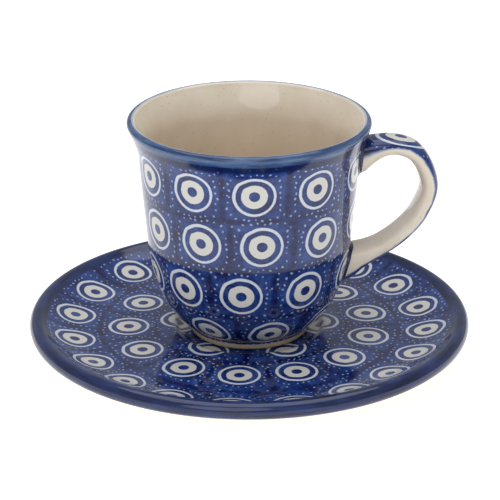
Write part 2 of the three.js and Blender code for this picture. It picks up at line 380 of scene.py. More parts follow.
def stamped_rows(rows, along, turn, radius, face_along, face_turn):
    """Stamp coordinates of face corners, from the millimetres along the outline and the turn in degrees.

    A row is (middle along the outline, sag, rings, first, drift, phase). Its ring k is printed where
    turn - drift sin(turn - phase) = first + 360 k / rings. Its middle strays outwards by the sag times
    (cos turn)^4 at the front. A face belongs to the row that is nearest. The second result is the
    millimetres to the border of the row: half of what the next row is further off than this one."""

    def apart(place, angle):
        """Millimetres from the middle of each row, one column for a row."""
        front = np.maximum(0, np.cos(np.radians(angle))) ** 4
        return np.stack([place - row[0] - row[1] * front for row in rows], axis=1)

    def counted(angle):
        """Rings from the first one to a turn, with a half added so that a whole number is a field's edge."""
        return (angle - drift * np.sin(np.radians(angle - phase)) - first) * rings / 360 + 0.5

    row_of = np.abs(apart(face_along, face_turn)).argmin(axis=1)
    rings, first, drift, phase = (np.array(column)[row_of] for column in list(zip(*rows))[2:])
    above = apart(along, turn)
    nearest = np.sort(np.abs(above), axis=1)
    border = (nearest[:, 1] - nearest[:, 0]) / 2
    whole_turns = np.floor(counted(face_turn) / rings)
    count = counted(turn) - whole_turns * rings
    above = np.take_along_axis(above, row_of[:, None], axis=1)[:, 0]
    pace = 1 - np.radians(drift) * np.cos(np.radians(turn - phase))
    return np.stack([count + 100 * row_of, above, 2 * np.pi * radius / rings / pace], axis=1), border


def note_stamps(piece, rows, along, radius, corners):
    """Keeps the stamp coordinates of a turned piece, whose outline points lie at along and radius."""
    loop, place, face_loop, face_place = corners
    index = np.arange(len(along))
    here, turn = np.interp(loop, index, along), place * 360 / TURNS
    face_here, face_turn = np.interp(face_loop, index, along), face_place * 360 / TURNS
    stamp, border = stamped_rows(rows, here, turn, np.interp(loop, index, radius), face_here, face_turn)
    note(piece, "stamp", stamp, kind="FLOAT_VECTOR")
    note(piece, "border", border)
    note(piece, "along", here)


# %% [markdown]
# ## The bowl
#
# A pressed and sponged bowl is never quite round, so the turned surface swells and warps by a tenth of a
# millimetre at most. Reflections show such waves long before the outline does. The lip of this cup is also
# a degree out of level, lowest at the front. The three upper rows have eleven rings each. The lowest, where
# the bowl closes in, has eight.

# %% Make the bowl
BOWL_ROWS = [
    (64.3, 0, 11, -62.5, 3.1, 73),
    (45.3, 0, 11, -57.3, -4.8, 243),
    (26.0, 0, 11, -65.3, -9.9, 222),
    (6.8, 0, 8, -32.2, 1.0, 90),
]

bowl, bowl_corners = skin(
    "glazed_bowl",
    turned(bowl_line, TURNS, out_of_round=0.0015, warp=0.1, droop=LIP_DROOP) + [0, 0, CUP_BASE],
)
note_stamps(bowl, BOWL_ROWS, bowl_run - bowl_run[wall_start], bowl_line[:, 0], bowl_corners)

# %% [markdown]
# ## The saucer
#
# The saucer is turned the same way. Its rows are circles: nineteen rings below the rim, thirteen on the
# floor of the dish, and six round the well.

# %% Make the saucer
SAUCER_ROWS = [
    (64.5, 5.5, 19, -141.7, 5.5, 187),
    (44.4, 0, 13, -119.7, 2.3, 209),
    (26.0, 0, 6, -94.5, 4.0, 0),
]

saucer, saucer_corners = skin(
    "glazed_saucer",
    turned(saucer_line, TURNS, out_of_round=0.0008, warp=0.1),
)
# Outside the dish the distance from the middle keeps growing along the outline, so that the rows end there.
from_middle = saucer_run[-1] - saucer_run + saucer_line[-1, 0]
note_stamps(saucer, SAUCER_ROWS, from_middle, saucer_line[:, 0], saucer_corners)

# %% [markdown]
# ## The handle
#
# The handle is a strap bent to an ear, thicker where it meets the wall. Its middle line is a smooth
# path through a few chosen points, and its section a superellipse, which is a rectangle with very soft
# corners. A Bevel on a curve object would give a tube, but not the flare at the ends. Each line along the
# strap stops just under the skin of the bowl, so that nothing shows inside the cup.

# %% The path of the handle
ROOT_TOP = CUP_HEIGHT - 14.8
ROOT_BOTTOM = 25.3
ROOT_DEPTH = 9.0
STRAP_THICKNESS = 6.4
ROOT_FLARE = 6.4
ROOT_FLARE_LENGTH = 12.0
SQUARENESS = 2.5
# Shares of the reach beyond the belly, and of the height from the lower root to the upper.
EAR = [(0.49, 1.08), (0.81, 1.005), (1, 0.72), (0.89, 0.47), (0.71, 0.31), (0.42, 0.155)]


def wall_radius(height):
    """Radius of the bowl's outside at a height above its foot."""
    return np.interp(height, wall_line[:, 1], wall_line[:, 0])


def smooth_path(points, steps):
    """Centripetal Catmull-Rom curve: a cubic stretch between each two points, whose slope at a point comes
    from its two neighbours, with time going as the square root of distance."""
    points = np.array(points, float)
    points = np.vstack([2 * points[0] - points[1], points, 2 * points[-1] - points[-2]])
    a, b, c, d = points[:-3], points[1:-2], points[2:-1], points[3:]
    pace = np.sqrt(np.linalg.norm(np.diff(points, axis=0), axis=1))[:, None]
    before, here, after = pace[:-2], pace[1:-1], pace[2:]
    leave = here * ((b - a) / before - (c - a) / (before + here) + (c - b) / here)
    reach = here * ((c - b) / here - (d - b) / (here + after) + (d - c) / after)
    t = np.linspace(0, 1, steps, endpoint=False)[:, None, None]
    path = (
        (2 * t**3 - 3 * t**2 + 1) * b
        + (t**3 - 2 * t**2 + t) * leave
        + (3 * t**2 - 2 * t**3) * c
        + (t**3 - t**2) * reach
    )
    return np.vstack([path.transpose(1, 0, 2).reshape(-1, 2), points[-2:-1]])


ear_reach = HANDLE_REACH - BELLY_RADIUS - STRAP_THICKNESS / 2
ear_height = ROOT_TOP - ROOT_BOTTOM
handle_path = even_steps(
    smooth_path(
        [
            (wall_radius(ROOT_TOP) - ROOT_DEPTH, ROOT_TOP - ROOT_DEPTH / 2),
            (wall_radius(ROOT_TOP), ROOT_TOP),
            *[(BELLY_RADIUS + across * ear_reach, ROOT_BOTTOM + up * ear_height) for across, up in EAR],
            (wall_radius(ROOT_BOTTOM), ROOT_BOTTOM),
            (wall_radius(ROOT_BOTTOM) - ROOT_DEPTH, ROOT_BOTTOM - ROOT_DEPTH / 2),
        ],
        40,
    ),
    0.25,
)
print(f"handle path {run_length(handle_path)[-1]:.1f} mm from root to root")


# %% The strap round the path
def strap(path, sides):
    """Loops of a superellipse carried along a path in the plane of the handle: at angle a the point is
    half the thickness times |cos a|^(2/n) outwards and half the width times |sin a|^(2/n) sideways."""
    tangent = np.gradient(path, axis=0)
    tangent /= np.linalg.norm(tangent, axis=1)[:, None]
    outward = np.stack([-tangent[:, 1], tangent[:, 0]], axis=1)
    from_wall = np.maximum(0, path[:, 0] - wall_radius(path[:, 1]))
    flare = ROOT_FLARE * np.maximum(0, 1 - from_wall / ROOT_FLARE_LENGTH) ** 2
    angle = -2 * np.pi * np.arange(sides) / sides
    thick = np.sign(np.cos(angle)) * np.abs(np.cos(angle)) ** (2 / SQUARENESS)
    wide = np.sign(np.sin(angle)) * np.abs(np.sin(angle)) ** (2 / SQUARENESS)
    off = (STRAP_THICKNESS + flare)[:, None] / 2 * thick
    middle = path[:, None, :] + outward[:, None, :] * off[:, :, None]
    side = np.broadcast_to(HANDLE_WIDTH / 2 * wide, middle.shape[:2])
    return np.stack([middle[:, :, 0], side, middle[:, :, 1]], axis=-1)


def outside_skin(loops, depth):
    """How far each point is outside the bowl's skin lowered by a depth, and negative within."""
    return np.hypot(loops[..., 0], loops[..., 1]) - wall_radius(loops[..., 2]) + depth


def crossings(loops, depth):
    """Where each line along the strap leaves and meets the lowered skin, as fractions of a loop number."""
    free = outside_skin(loops, depth)
    side = np.arange(loops.shape[1])
    first = (free > 0).argmax(axis=0)
    last = len(free) - 1 - (free[::-1] > 0).argmax(axis=0)
    leave = first - free[first, side] / (free[first, side] - free[first - 1, side])
    meet = last + free[last, side] / (free[last, side] - free[last + 1, side])
    return leave, meet


def at_fraction(loops, fraction):
    """Points of the strap at fractional loop numbers, one row of them for each new loop."""
    low = np.floor(fraction).astype(int)
    share = (fraction - low)[..., None]
    side = np.broadcast_to(np.arange(loops.shape[1]), fraction.shape)
    return loops[low, side] * (1 - share) + loops[low + 1, side] * share


SIDES = 72
STRAP_LOOPS = 260
ROOT_SINK = 1.5  # how far under the bowl's skin the strap ends
whole_strap = strap(handle_path, SIDES)
leave, meet = crossings(whole_strap, depth=ROOT_SINK)
share = np.linspace(0, 1, STRAP_LOOPS)[:, None]
fraction = leave + share * (meet - leave)
strap_loops = at_fraction(whole_strap, fraction)
handle, handle_corners = skin("strap_handle", strap_loops + [0, 0, CUP_BASE])
loop, place, _, _ = handle_corners

# %% [markdown]
# The painter runs the cobalt brush down the back of the strap. So each point needs to know how far it
# is along the path and how far round the section from the middle of the back.

# %% Paint coordinates of the handle
path_run = run_length(handle_path)
inner_end = math.hypot(ROOT_DEPTH, ROOT_DEPTH / 2)
along_grid = np.interp(fraction, np.arange(len(handle_path)), path_run) - inner_end
edge = np.linalg.norm(np.diff(strap_loops, axis=1, append=strap_loops[:, :1]), axis=2)
round_grid = np.concatenate([np.zeros((STRAP_LOOPS, 1)), np.cumsum(edge, axis=1)], axis=1)
whole_round = round_grid[:, -1:]
across_grid = np.where(round_grid > whole_round / 2, round_grid - whole_round, round_grid)
along_grid = np.hstack([along_grid, along_grid[:, :1]])
# The brushed cobalt reaches this far to each side of the back's middle, at these places along the path.
BRUSH_PLACES = [0, 10, 22, 32, 52]
BRUSH_REACH = [10.5, 10.0, 8.8, 8.0, 7.8]
brush_half = np.interp(along_grid, BRUSH_PLACES, BRUSH_REACH)
corner_loop = loop.astype(int)
corner_place = np.round(place).astype(int)
note(handle, "along", along_grid[corner_loop, corner_place])
note(handle, "across", across_grid[corner_loop, corner_place])
note(handle, "brushed", (brush_half - np.abs(across_grid))[corner_loop, corner_place])

# %% [markdown]
# ## The seams of slip
#
# Wet slip squeezed out round each root is smoothed with a finger into a hollow fillet, and a dark brush
# line hides it. A Boolean and a Bevel could make such a joint, but they would weld the two pieces. Here a
# short curve from wall to strap is carried along the line where they meet. It is a ring, so its mesh is
# closed on itself both ways.

# %% Make the seams
SEAM_WIDTH = 1.1
SEAM_HEIGHT = 1.2


def unit(vectors):
    """Vectors over their lengths."""
    return vectors / np.linalg.norm(vectors, axis=-1, keepdims=True)


def seam(name, fraction, step, seed):
    """Fillet round a root: a quadratic curve from a point on the wall to a point on the strap, with the
    line where they meet as its middle, closed by a chain under both skins."""
    meeting = at_fraction(whole_strap, fraction)
    on_strap = unit(at_fraction(whole_strap, fraction + 8 * step) - meeting)
    slope = (wall_radius(meeting[:, 2] + 0.5) - wall_radius(meeting[:, 2] - 0.5))[:, None]
    turn = unit(meeting[:, :2])
    wall_out = unit(np.hstack([turn, -slope]))
    tangent = unit(np.roll(meeting, -1, axis=0) - np.roll(meeting, 1, axis=0))
    on_wall = unit(np.cross(tangent, wall_out))
    on_wall *= np.sign(np.sum(on_wall * (meeting - meeting.mean(axis=0)), axis=1, keepdims=True))
    angle = np.linspace(0, 2 * np.pi, len(meeting), endpoint=False)[:, None]
    chance = np.random.default_rng(seed)
    wander = sum(
        chance.uniform(0.03, 0.08) * np.sin(k * angle + chance.uniform(0, 6)) for k in (1, 2, 3, 5, 8)
    )
    width = SEAM_WIDTH * (1 + wander)
    foot = meeting + width * on_wall + 0.04 * wall_out
    top = meeting + SEAM_HEIGHT * (1 + wander) * on_strap
    t = np.linspace(0, 1, 9)[:, None, None]
    # The heart of the curve is pulled a little out of the corner, and the chain behind it is sunk in both.
    heart = meeting + 0.12 * (foot + top - 2 * meeting)
    fillet = (1 - t) ** 2 * foot + 2 * t * (1 - t) * heart + t**2 * top
    under = [top - 0.5 * wall_out, meeting - 0.8 * wall_out, foot - 0.6 * wall_out]
    # The upper root is followed backwards, so that the faces of both seams point outwards.
    loops = np.vstack([fillet, np.stack(under)])[:, ::-step]
    return skin(name, loops.transpose(1, 0, 2) + [0, 0, CUP_BASE], ring=True)[0]


leave, meet = crossings(whole_strap, depth=0)
seams = [seam("slip_seam_upper", leave, 1, 3), seam("slip_seam_lower", meet, -1, 5)]


def volume(piece):
    """Signed volume: the sum over triangles of the box product of their corners, over six."""
    mesh = piece.data
    mesh.calc_loop_triangles()
    corners = np.zeros(len(mesh.loop_triangles) * 3, np.int32)
    mesh.loop_triangles.foreach_get("vertices", corners)
    points = np.zeros(len(mesh.vertices) * 3, np.float32)
    mesh.vertices.foreach_get("co", points)
    a, b, c = (points.reshape(-1, 3)[corners.reshape(-1, 3)[:, k]].astype(float) for k in range(3))
    return np.einsum("ij,ij->", a, np.cross(b, c)) / 6 / MM**3 / 1000


for piece in (bowl, saucer, handle, *seams):
    print(f"{piece.name}: {volume(piece):.2f} cm3, so its faces point {'out' if volume(piece) > 0 else 'IN'}")

# %% [markdown]
# ## Maps for a baked copy
#
# A copy of this model for other programs carries its paint as a picture, laid out by a UV map. The patterned
# side should get most of that picture. So the bowl's outside lies in two strips of half a turn each, with
# its plain parts squeezed above them. The saucer's top is a large disc beside a small one of its
# underside, and the strap is unrolled.

# %% Lay out the maps
def lay_out(piece, u, v):
    """Writes u and v of every face corner to the map that a baked copy is made with."""
    made = piece.data.uv_layers.new(name="OFBake")
    made.data.foreach_set("uv", np.stack([u, v], axis=1).astype(np.float32).ravel())
    print(f"{piece.name}: map from {u.min():.2f}, {v.min():.2f} to {u.max():.2f}, {v.max():.2f}")


def strips(loop, place, face_loop, face_place):
    """Each part of the outline is a pair of strips: u is the share of a half turn, v that of the part."""
    second = face_place > TURNS / 2
    part = [face_loop < wall_start, face_loop < inside_start]
    first_loop = np.select(part, [0, wall_start], inside_start)
    last_loop = np.select(part, [wall_start, inside_start], len(bowl_line) - 1)
    low = np.select(part, [0.93, 0.01], 0.83)
    high = np.select(part, [0.025, 0.385], 0.04)
    share = (loop - first_loop) / (last_loop - first_loop)
    u = 0.01 + 0.98 * (place / TURNS * 2 - second)
    return u, low + high * (1.1 * second + share)


def discs(loop, place, face_loop):
    """Two discs: the distance from a disc's middle is the millimetres from the middle along the outline."""
    angle = place * 2 * np.pi / TURNS
    run = np.interp(loop, np.arange(len(saucer_line)), saucer_run)
    split = saucer_run[flank_start]
    top = face_loop > flank_start
    radius = np.where(top, 0.425 * (saucer_run[-1] - run) / (saucer_run[-1] - split), 0.12 * run / split)
    middle = np.where(top, 0.435, 0.87)
    return middle + radius * np.sin(angle), middle - np.where(top, -1, 1) * radius * np.cos(angle)


lay_out(bowl, *strips(*bowl_corners))
lay_out(saucer, *discs(*saucer_corners[:3]))

loop, place, face_loop, face_place = handle_corners
cap = face_loop == np.floor(face_loop)
angle = place * 2 * np.pi / SIDES
# The cut ends, which are inside the wall, are two small discs beside the unrolled strap.
on_rim = np.abs(place - face_place) > 0.25
u = np.where(cap, 0.97 + 0.02 * np.cos(angle) * on_rim, 0.01 + 0.92 * loop / (STRAP_LOOPS - 1))
v = np.where(cap, np.where(loop > 0, 0.7, 0.3) + 0.02 * np.sin(angle) * on_rim, 0.01 + 0.98 * place / SIDES)
lay_out(handle, u, v)

# %% [markdown]
# ## Paint and glaze
#
# Colours are written as a colour picker shows them and turned to the linear values that light adds up
# in. One function adds a node, with its settings and links, so that a material reads as a recipe.

# %% Tools for materials
def linear(colour):
    """sRGB hex to linear: below 0.04045 divide by 12.92, else ((c + 0.055) / 1.055) ^ 2.4."""
    channels = [int(colour[i : i + 2], 16) / 255 for i in (1, 3, 5)]
    return [c / 12.92 if c <= 0.04045 else ((c + 0.055) / 1.055) ** 2.4 for c in channels] + [1.0]


def add(tree, kind, inputs=None, ramp=None, **settings):
    """Adds a node. The kind may end in a space and an operation. Inputs are a list or a dict of values,
    nodes or outputs. A ramp is places and colours."""
    kind, _, operation = kind.partition(" ")
    made = tree.nodes.new(kind if kind.startswith("Node") else "ShaderNode" + kind)
    if operation:
        made.operation = operation.upper()
    for name, value in settings.items():
        setattr(made, name, value)
    pairs = inputs.items() if isinstance(inputs, dict) else enumerate(inputs or [])
    for key, value in pairs:
        free = [socket for socket in made.inputs if socket.enabled]
        socket = free[key] if isinstance(key, int) else next(s for s in free if s.name == key)
        if isinstance(value, bpy.types.Node):
            value = next(output for output in value.outputs if output.enabled)
        if isinstance(value, bpy.types.NodeSocket):
            tree.links.new(value, socket)
        elif value is not None:
            socket.default_value = linear(value) if isinstance(value, str) else value
    for number, (position, colour) in enumerate(ramp or []):
        stops = made.color_ramp.elements
        stop = stops[number] if number < 2 else stops.new(position)
        stop.position = position
        stop.color = linear(colour) if isinstance(colour, str) else [colour, colour, colour, 1]
    return made


def every(length):
    """The scale of a pattern whose waves are that many millimetres long."""
    return 1 / (length * MM)


def layered(tree, colour, *layers):
    """The colour with paints laid over it, one after another, each where its mask is 1."""
    for mask, paint in layers:
        colour = add(tree, "Mix", [mask, colour, paint], data_type="RGBA")
    return colour


# %% [markdown]
# ## The clear glaze
#
# Under one clear glossy glaze lie all the colours. It runs a little as it melts, so its surface has waves
# about a centimetre long and an orange-peel of about a millimetre, and these bend the reflections. Its
# index of refraction is that of glass, 1.5, and its roughness nearly that of glass too. A clear coat over a
# matt base would give the same gloss with one layer more, so the shader's own gloss does the work.

# %% The glaze over a colour
GLAZE_ROUGHNESS = 0.07
CLAY_ROUGHNESS = 0.6
RELIEF = 0.11  # millimetres from the lowest to the highest of the waves


def glazed(tree, colour, roughness=GLAZE_ROUGHNESS):
    """Principled shader with the colour under clear glaze, and waves in the glaze as bump."""
    place = add(tree, "TexCoord").outputs["Object"]
    waves = add(tree, "TexNoise", {"Vector": place, "Scale": every(11.765), "Detail": 1.0})
    peel = add(tree, "TexNoise", {"Vector": place, "Scale": every(1.111), "Detail": 1.0})
    height = add(tree, "Math multiply_add", [peel, 0.05, waves])
    bump = add(tree, "Bump", {"Strength": 1.0, "Distance": RELIEF * MM, "Height": height})
    surface = {"Base Color": colour, "Roughness": roughness, "IOR": 1.5, "Normal": bump}
    add(tree, "OutputMaterial", {"Surface": add(tree, "BsdfPrincipled", surface)})


def begin_material(name):
    """An empty material, and the tree that its nodes go into."""
    material = bpy.data.materials.new(name)
    material.use_nodes = True
    material.node_tree.nodes.clear()
    return material, material.node_tree


# %% [markdown]
# ## The ring sponge
#
# Each print is a solid disc with a bare middle, a ring round it, and a soft square of dots pricked
# outside the ring with a pointed tool. The sponge is cut by hand: its edges wander a little, one corner
# sticks out, and the ring is thicker on that side. As every print comes from the same sponge, those quirks
# repeat, while its place and the dots vary. A picture of one print could be laid on again and again, but
# nodes keep it sharp at any size and let each print differ. They are one group, which takes millimetres
# from the middle of a print.

# %% The print of one sponge
PRICKS = 27
PRICKED_SQUARE = 8.35  # half the side of the soft square where the dots begin
DISC_RADIUS = 4.45
BARE_RADIUS = 1.85
RING_RADIUS = 7.4
RING_WIDTH = 1.0
SOFT_EDGE = 0.12


def ring_sponge():
    """Masks of a print: its disc, its ring, its dots, and how far out in the soft square a point is."""
    tree = bpy.data.node_groups.new("ring sponge", "ShaderNodeTree")
    for name in ("Across", "Up", "Number"):
        tree.interface.new_socket(name, in_out="INPUT", socket_type="NodeSocketFloat")
    for name in ("Disc", "Ring", "Dots", "Reach"):
        tree.interface.new_socket(name, in_out="OUTPUT", socket_type="NodeSocketFloat")
    given = add(tree, "NodeGroupInput").outputs

    # Each print lands up to a third of a millimetre off its place.
    chance = add(tree, "TexWhiteNoise", {"W": given["Number"]}, noise_dimensions="1D").outputs["Color"]
    slip = add(tree, "VectorMath subtract", [chance, (0.5, 0.5, 0.5)])
    placed = add(tree, "CombineXYZ", [given["Across"], given["Up"], 0.0])
    local = add(tree, "VectorMath multiply_add", [slip, (0.6, 0.6, 0.0), placed])
    flat = add(tree, "VectorMath multiply", [local, (1.0, 1.0, 0.0)])
    length = add(tree, "VectorMath length", [flat]).outputs["Value"]
    heading = add(tree, "VectorMath normalize", [flat])

    # The cut of the sponge depends on the heading only, and the ragged edge of a print on the place too.
    cut = add(tree, "TexNoise", {"Vector": heading, "Scale": 1.6}, noise_dimensions="2D")
    rough = {"Vector": flat, "W": given["Number"], "Scale": 1.5}
    ragged = add(tree, "TexNoise", rough, noise_dimensions="4D")
    lean = add(tree, "VectorMath dot_product", [heading, (-0.77, 0.64, 0.0)]).outputs["Value"]
    towards = add(tree, "Math maximum", [lean, 0.0])
    corner = add(tree, "Math power", [towards, 40.0])
    edge = add(tree, "Math multiply_add", [cut, -0.22, length])
    edge = add(tree, "Math multiply_add", [ragged, -0.26, edge])
    edge = add(tree, "Math multiply_add", [corner, -0.2, edge])
    edge = add(tree, "Math add", [edge, 0.24])

    def inside(distance, radius, fade=SOFT_EDGE):
        """Mask that is 1 nearer than the radius and fades to 0 across its edge."""
        places = [distance, radius - fade, radius + fade, 1.0, 0.0]
        return add(tree, "MapRange", places, interpolation_type="SMOOTHSTEP")

    calm = add(tree, "Math add", [edge, length])
    calm = add(tree, "Math multiply", [calm, 0.5])
    bare = add(tree, "Math subtract", [1.0, inside(calm, BARE_RADIUS)])
    disc = add(tree, "Math multiply", [inside(edge, DISC_RADIUS), bare])
    thin_side = add(tree, "Math multiply_add", [lean, 0.14, edge])
    hollow = inside(thin_side, RING_RADIUS - RING_WIDTH)
    gap = add(tree, "Math subtract", [1.0, hollow])
    ring = add(tree, "Math multiply", [inside(edge, RING_RADIUS), gap])

    # Distance by the fifth powers of the two sides makes the soft square that the dots follow. There is
    # one dot for each share of the turn, a little aside of its middle and a little further out or in.
    sides = add(tree, "SeparateXYZ", [flat]).outputs
    widths = [add(tree, "Math absolute", [sides[name]]) for name in "XY"]
    powers = [add(tree, "Math power", [width, 5.0]) for width in widths]
    reach = add(tree, "Math power", [add(tree, "Math add", powers), 1 / 5])
    angle = add(tree, "Math arctan2", [sides["Y"], sides["X"]])
    count = add(tree, "Math multiply", [angle, PRICKS / (2 * math.pi)])
    number = add(tree, "Math floor", [count])
    place = add(tree, "CombineXYZ", [number, given["Number"], 0.0])
    chance = add(tree, "TexWhiteNoise", {"Vector": place}, noise_dimensions="2D").outputs["Color"]
    chance = add(tree, "SeparateColor", [chance]).outputs
    share = add(tree, "Math fract", [count])
    aside = add(tree, "Math multiply_add", [chance[0], 0.3, 0.35])
    sideways = add(tree, "Math subtract", [share, aside])
    step = add(tree, "Math multiply", [length, 2 * math.pi / PRICKS])
    sideways = add(tree, "Math multiply", [sideways, step])
    row = add(tree, "Math multiply_add", [chance[1], 1.0, PRICKED_SQUARE])
    outwards = add(tree, "Math subtract", [reach, row])
    off = add(tree, "CombineXYZ", [sideways, outwards, 0.0])
    off = add(tree, "VectorMath length", [off]).outputs["Value"]
    size = add(tree, "Math multiply_add", [chance[2], 0.18, 0.24])
    blunt = add(tree, "Math subtract", [off, size])
    dots = inside(blunt, 0.0, fade=0.15)
    add(tree, "NodeGroupOutput", {"Disc": disc, "Ring": ring, "Dots": dots, "Reach": reach})
    return tree


sponge = ring_sponge()
print("the ring sponge has", len(sponge.nodes), "nodes")

# %% [markdown]
# ## Brushed cobalt
#
# Cobalt goes on with a wide brush and soaks in unevenly: clouds a few millimetres across, finer
# speckle where grog drinks it, and violet lines where two strokes overlap between the prints. One noise
# alone would look like smoke. Three of them, each as large as its cause, look brushed.

# %% Ground colour
def cobalt_ground(tree, overlap):
    """Clouds of three blues with a fine speckle, and violet where the overlap of strokes is near 1."""
    place = add(tree, "TexCoord").outputs["Object"]
    cloudy = {"Vector": place, "Scale": every(6.667), "Detail": 4.0, "Roughness": 0.62}
    clouds = add(tree, "TexNoise", cloudy)
    blues = add(tree, "ValToRGB", [clouds], ramp=[(0.33, "#07103f"), (0.67, "#2a4786"), (0.5, "#142a68")])
    fine = add(tree, "TexNoise", {"Vector": place, "Scale": every(0.909)})
    speckle = add(tree, "MapRange", [fine, 0.38, 0.7, 0.0, 0.42])
    flattened = add(tree, "VectorMath multiply", [place, (1.0, 1.0, 3.0)])
    streaks = add(tree, "TexNoise", {"Vector": flattened, "Scale": every(5), "Detail": 3.0})
    strength = add(tree, "MapRange", [streaks, 0.32, 0.6, 0.25, 0.95])
    violet = add(tree, "Math multiply", [overlap, strength])
    return layered(tree, blues, (speckle, "#365494"), (violet, "#0a0d42"))


def printed(tree, ground, prints, dots):
    """Ground with the dots, the outer ring and the disc of a print laid over it."""
    return layered(tree, ground, (dots, "#8fa1c8"), (prints["Ring"], "#cbd0da"), (prints["Disc"], "#d2d0ca"))


def stamped_field(tree, flat=False):
    """Brushed and printed colour of a body, from its stamp coordinates and the distance to the border."""
    stamp = add(tree, "Attribute", attribute_name="stamp").outputs["Vector"]
    count, up, width = add(tree, "SeparateXYZ", [stamp]).outputs
    number = add(tree, "Math floor", [count])
    share = add(tree, "Math fract", [count])
    share = add(tree, "Math subtract", [share, 0.5])
    across = add(tree, "Math multiply", [share, width])
    if flat:
        # A row on a flat piece is a circle, and a straight print leaves it by across^2 / (2 along).
        along = add(tree, "Attribute", attribute_name="along").outputs["Fac"]
        bend = add(tree, "Math multiply", [across, across])
        bend = add(tree, "Math divide", [bend, along])
        up = add(tree, "Math multiply_add", [bend, -0.5, up])
    print_at = {"Across": across, "Up": up, "Number": number}
    prints = add(tree, "Group", print_at, node_tree=sponge).outputs

    # Two strokes overlap half way to the next print, and there the square of dots ends too.
    aside = add(tree, "Math absolute", [across])
    side_gap = add(tree, "Math multiply", [width, 0.5])
    side_gap = add(tree, "Math subtract", [side_gap, aside])
    border = add(tree, "Attribute", attribute_name="border").outputs["Fac"]
    gap = add(tree, "Math minimum", [side_gap, border])
    overlap = add(tree, "MapRange", [gap, 0.3, 2.0, 1.0, 0.0], interpolation_type="SMOOTHSTEP")

    # Loose dots, two millimetres apart, fill the corners that a print leaves free.
    spread = add(tree, "CombineXYZ", [across, up, number])
    cells = add(tree, "TexVoronoi", {"Vector": spread, "Scale": 1 / 2.1, "Randomness": 0.75})
    loose = add(tree, "MapRange", [cells.outputs["Distance"], 0.14, 0.24, 1.0, 0.0])
    beyond = add(tree, "MapRange", [prints["Reach"], 9.9, 10.1, 0.0, 1.0])
    clear = add(tree, "MapRange", [gap, 0.3, 0.5, 0.0, 1.0])
    for mask in (beyond, clear):
        loose = add(tree, "Math multiply", [loose, mask])
    dots = add(tree, "Math maximum", [loose, prints["Dots"]])
    return printed(tree, cobalt_ground(tree, overlap), prints, dots)


# %% [markdown]
# ## Cream and slate
#
# Where nothing is painted, the buff clay shows through the glaze as a warm cream with tiny iron specks.
# The lip and the saucer's rim are banded on the wheel, a thin wash of cobalt that shows each turn of the
# brush as a streak. The foot rings are wiped bare, and there the fired clay is matt and browner. Each paint
# could have a material of its own, but one material with masks can let its edges wander.

# %% Plain glazes
def cream_clay(tree, place):
    """Warm cream, browner in clouds a centimetre wide, with iron specks of a third of a millimetre."""
    clouds = add(tree, "TexNoise", {"Vector": place, "Scale": every(10), "Detail": 3.0})
    cream = add(tree, "ValToRGB", [clouds], ramp=[(0.3, "#ddd0bc"), (0.7, "#e4dac9")])
    grains = add(tree, "TexNoise", {"Vector": place, "Scale": every(1), "Roughness": 0.7})
    specks = add(tree, "MapRange", [grains, 0.27, 0.33, 0.55, 0.0])
    return add(tree, "Mix", [specks, cream, "#8f7a60"], data_type="RGBA")


def banded(tree, place, dark, middle, light):
    """Streaks that run round the piece, one for each turn of the brush: noise stretched along the turn."""
    raised = add(tree, "VectorMath multiply", [place, (1.0, 1.0, 14.0)])
    streaky = {"Vector": raised, "Scale": every(14.286), "Detail": 4.0, "Roughness": 0.6}
    turns = add(tree, "TexNoise", streaky)
    return add(tree, "ValToRGB", [turns], ramp=[(0.36, dark), (0.64, light), (0.5, middle)])


def wandered(tree, name, place, by, waves):
    """Reads a distance, and adds a drift of up to that many millimetres in waves of a length."""
    distance = add(tree, "Attribute", attribute_name=name).outputs["Fac"]
    drift = add(tree, "TexNoise", {"Vector": place, "Scale": every(waves), "Detail": 3.0})
    drift = add(tree, "Math subtract", [drift, 0.5])
    return add(tree, "Math multiply_add", [drift, 2 * by, distance])


# %% The bowl's material
def bowl_glaze():
    """Brushed and sponged outside, slate lip, a painted dark reflection under it, cream inside with painted
    shade towards the floor, bare clay foot.
    """
    material, tree = begin_material("sponged_cobalt_stoneware")
    place = add(tree, "TexCoord").outputs["Object"]
    along = wandered(tree, "along", place, by=0.3, waves=8.333)
    lip = wall_run[-1]
    # Painted reflection: a dark band under the slate lip, in the hollow of the flare.
    painted_dark_reflection = add(tree, "MapRange", [along, lip - 5.4, lip - 4.4, 0.0, 0.9])
    in_band = add(tree, "MapRange", [along, lip - 2.3, lip - 2.0, 0.0, 1.0])
    # The wash thins to a pale halo before it ends inside the lip, and that pale band is also a painted
    # highlight along the lip's inner edge.
    halo = add(tree, "MapRange", [along, lip + 3.0, lip + 3.4, 0.0, 0.8])
    inside = add(tree, "MapRange", [along, lip + 3.7, lip + 4.0, 0.0, 1.0])
    # Painted shade: the cream inside darkens and browns towards the floor, as less light reaches deep into
    # the cup.
    painted_depth_shade = add(tree, "MapRange", [along, lip + 10, lip + 60, 0.0, 0.75])
    below = add(tree, "MapRange", [along, -2.4, -2.0, 1.0, 0.0])
    recess = add(tree, "MapRange", [along, -7.8, -7.4, 0.0, 1.0])
    foot = add(tree, "Math multiply", [below, recess])
    cream = cream_clay(tree, place)
    # The cream inside, with the painted shade laid over it towards the floor.
    shaded_lining = add(tree, "Mix", [painted_depth_shade, cream, "#b2916b"], data_type="RGBA")
    colour = layered(
        tree,
        stamped_field(tree),
        (painted_dark_reflection, "#0b1542"),
        (in_band, banded(tree, place, "#20365f", "#38527c", "#506c94")),
        (halo, "#b9c3d2"),
        (inside, shaded_lining),
        (below, cream),
        (foot, "#b3a086"),
    )
    glazed(tree, colour, add(tree, "MapRange", [foot, 0.0, 1.0, GLAZE_ROUGHNESS, CLAY_ROUGHNESS]))
    return material


